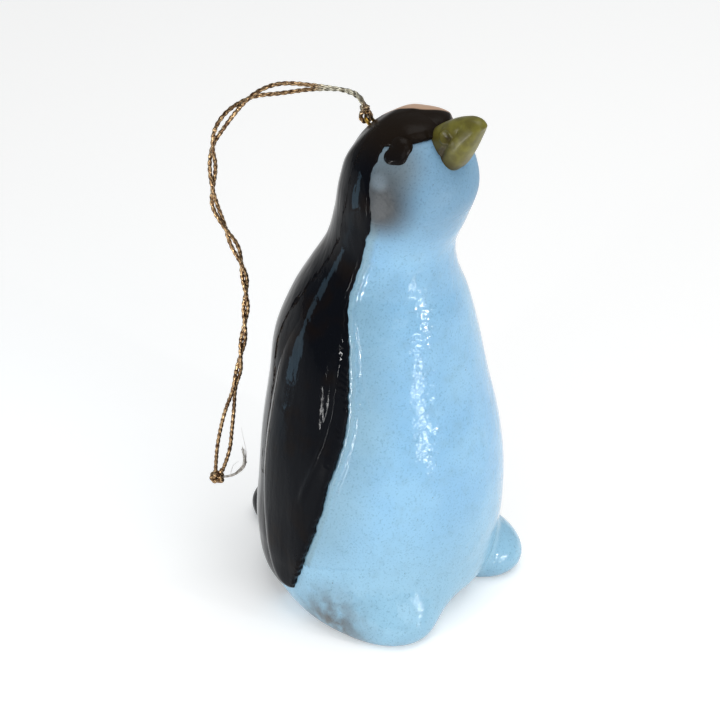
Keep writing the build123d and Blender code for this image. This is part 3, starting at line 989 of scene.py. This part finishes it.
for name, route in (("upper", STRAND_UPPER_ROUTE), ("lower", STRAND_LOWER_ROUTE)):
    line = spline_line([on_cord(*stop) for stop in route])
    path = even_steps(line, STRAND_STEP * MM)
    strand = twisted_tube("gold_strand_" + name, path, CORD_DIAMETER * MM, STRAND_LAY * MM, 0.15, gold_cord)
    belongs(strand, "cord_loop", "gold_cord", "cord_strand_" + name)

# Hitch: two turns round the wire and a collar that gathers the strands
HITCH_RADIUS = 0.95
hitch_routes = []
for depth in (-0.3, 0.3):
    ring = [on_cord(HITCH_RADIUS * math.cos(t), HITCH_RADIUS * math.sin(t), depth + 0.12 * math.sin(2 * t))
            for t in np.linspace(0, 2 * math.pi, 10)[:-1]]
    hitch_routes.append(ring + ring[:1])
hitch_routes.append([on_cord(0.15 + 0.55 * math.cos(t), 1.1 + 0.055 * t, 0.75 * math.sin(t))
                     for t in np.linspace(0.4, 4 * math.pi, 26)])
for i, route in enumerate(hitch_routes):
    path = even_steps(spline_line(route), KNOT_STEP * MM)
    piece = twisted_tube(f"gold_hitch_{i}", path, 0.62 * MM, 1.6 * MM, 0.18, gold_cord, 12)
    belongs(piece, "cord_loop", "gold_cord", *(["hitch_knot"] if i == 0 else []))

# End knot: a tight overhand knot that both strands run into
KNOT_SIZE = 1.15
knot = [on_cord(26.7, -71.9), on_cord(26.9, -72.5)]
for t in np.linspace(0, 2 * math.pi, 34):
    reach_out = 0.66 + 0.3 * math.cos(3 * t)
    knot.append(on_cord(END_KNOT_CENTRE[0] - 0.1 + KNOT_SIZE * reach_out * math.cos(2 * t),
                        END_KNOT_CENTRE[1] + KNOT_SIZE * reach_out * math.sin(2 * t), 0.42 * math.sin(3 * t)))
knot += [on_cord(28.0, -72.9), on_cord(28.0, -72.2)]
knot_path = even_steps(spline_line(knot), KNOT_STEP * MM)
end_knot = twisted_tube("gold_end_knot", knot_path, 0.8 * MM, 1.7 * MM, 0.16, gold_cord, 12)
belongs(end_knot, "cord_loop", "gold_cord", "end_knot")

# Frayed ends: loose fibres of the core that curl up beside the knot, most of them along one route
LOOSE_FIBRES = 11
FIBRE_DIAMETERS = [0.3] * 4 + [0.16] * 5 + [0.09] * 4
fibres = []
for i in range(LOOSE_FIBRES):
    points = []
    for j, stop in enumerate(FRAYED_ROUTE):
        loose = 0.12 + 0.09 * j
        points.append(on_cord(*(value + random.uniform(-loose, loose) for value in stop)))
    fibres.append(points[:4] if i % 3 and i % 2 else points)
LONG_FIBRE = [
    (24.9, -73.4, 0.1), (22.6, -71.2, 0.2), (22.0, -68.6, 0.1), (22.6, -65.0, 0.0), (22.9, -62.6, 0.0),
]
SHORT_FIBRE = [(25.2, -73.0, 0.1), (24.9, -71.6, 0.4), (24.2, -70.8, 0.5), (23.6, -70.4, 0.4)]
fibres += [[on_cord(*stop) for stop in route] for route in (LONG_FIBRE, SHORT_FIBRE)]
for i, (points, diameter) in enumerate(zip(fibres, FIBRE_DIAMETERS)):
    path = even_steps(spline_line(points, 10), FIBRE_STEP * MM)
    piece = twisted_tube(f"frayed_fibre_{i}", path, diameter * MM, 1.2 * MM, 0.1, pale_core, 7, 0.55)
    belongs(piece, "cord_loop", "pale_core", *(["frayed_ends"] if i == 0 else []))

# Floor, light and camera. The floor glows a little for the camera and in reflections, so that the paper
# is as white there as in the photo, and it keeps the object's shadow.
FLOOR_GLOW = 0.28
FLOOR_HALF_SIZE = 3000
FLOOR_LEVEL = -0.05
WORLD_STRENGTH = 0.30
floor_material, tree, shader = new_material("pale_paper_sweep")
shader.inputs["Base Color"].default_value = paint("#f2f1ef")
shader.inputs["Roughness"].default_value = 0.9
shader.inputs["Specular IOR Level"].default_value = 0.0
ray = add_node(tree, "ShaderNodeLightPath")
seen = add_node(tree, "ShaderNodeMath", [(0, ray, "Is Camera Ray"), (1, ray, "Is Glossy Ray")],
                operation="ADD")
seen = add_node(tree, "ShaderNodeMath", [(0, seen, "Value"), (1, ray, "Is Transmission Ray")],
                operation="ADD")
glow = add_node(tree, "ShaderNodeMath", [(0, seen, "Value")], operation="MULTIPLY", in_1=FLOOR_GLOW)
tree.links.new(glow.outputs["Value"], shader.inputs["Emission Strength"])
shader.inputs["Emission Color"].default_value = paint("#ffffff")
floor_corners = [(x * FLOOR_HALF_SIZE, y * FLOOR_HALF_SIZE, FLOOR_LEVEL)
                 for x, y in ((-1, -1), (1, -1), (1, 1), (-1, 1))]
floor = mesh_piece("floor", floor_corners, [(0, 1, 2, 3)], floor_material)

world = bpy.data.worlds.new("studio")
world.use_nodes = True
bpy.context.scene.world = world
world.node_tree.nodes["Background"].inputs["Color"].default_value = paint("#eef3f8")
world.node_tree.nodes["Background"].inputs["Strength"].default_value = WORLD_STRENGTH


def lamp(name, place, aim, width, height, watts, colour="#ffffff"):
    """A rectangular lamp, in metres."""
    light = bpy.data.lights.new(name, "AREA")
    light.shape = "RECTANGLE"
    light.size = width
    light.size_y = height
    light.energy = watts
    light.color = paint(colour)[:3]
    holder = bpy.data.objects.new(name, light)
    holder.location = place
    holder.rotation_euler = (Vector(aim) - Vector(place)).to_track_quat("-Z", "Y").to_euler()
    bpy.context.scene.collection.objects.link(holder)


# Two softboxes, strips that give the narrow highlights on the white and the black, and a cool window behind
lamp("overhead_softbox", (0.1, -0.1, 0.9), (0.0, 0.0, 0.05), 0.8, 0.8, 4.8)
lamp("front_softbox", (-0.2, -0.8, 0.45), (0.0, 0.0, 0.05), 0.6, 0.5, 1.2)
lamp("belly_strip", (0.019, -0.15, 0.061), (-0.005, 0.0, 0.05), 0.005, 0.012, 0.026)
lamp("belly_strip_below_bar", (0.017, -0.15, 0.042), (-0.005, 0.0, 0.05), 0.004, 0.007, 0.009)
lamp("low_belly_strip", (-0.018, -0.15, 0.024), (-0.005, 0.0, 0.04), 0.005, 0.020, 0.013)
lamp("flank_strip", (-0.165, -0.004, 0.060), (0.0, 0.0, 0.055), 0.010, 0.015, 0.06)
lamp("low_flank_strip", (-0.16, 0.014, 0.018), (0.0, 0.0, 0.04), 0.005, 0.032, 0.03)
lamp("window_strip", (-0.095, 0.125, 0.048), (0.0, 0.0, 0.055), 0.028, 0.085, 0.04, "#93c0dd")

# Camera: the photo's view, with the picture's shift in pixels
TARGET = Vector((0.0, 0.0003, 0.042))
CAMERA_DISTANCE = 0.380
AZIMUTH = math.radians(-50.0)
ELEVATION = math.radians(32.0)
PICTURE = 720
PIXELS_PER_METRE = 5560.0
SENSOR_WIDTH = 36.0
PICTURE_SHIFT = (-9.9, 8.8)
back_to_camera = Vector((math.sin(AZIMUTH) * math.cos(ELEVATION), -math.cos(AZIMUTH) * math.cos(ELEVATION),
                         math.sin(ELEVATION)))
camera_data = bpy.data.cameras.new("camera")
camera_data.sensor_width = SENSOR_WIDTH
camera_data.lens = SENSOR_WIDTH * PIXELS_PER_METRE * CAMERA_DISTANCE / PICTURE
camera_data.shift_x = PICTURE_SHIFT[0] / PICTURE
camera_data.shift_y = PICTURE_SHIFT[1] / PICTURE
camera_data.clip_start = 0.01
camera = bpy.data.objects.new("camera", camera_data)
camera.location = TARGET + back_to_camera * CAMERA_DISTANCE
camera.rotation_euler = (-back_to_camera).to_track_quat("-Z", "Y").to_euler()
bpy.context.scene.collection.objects.link(camera)
bpy.context.scene.camera = camera
bpy.context.scene.view_settings.view_transform = "Standard"
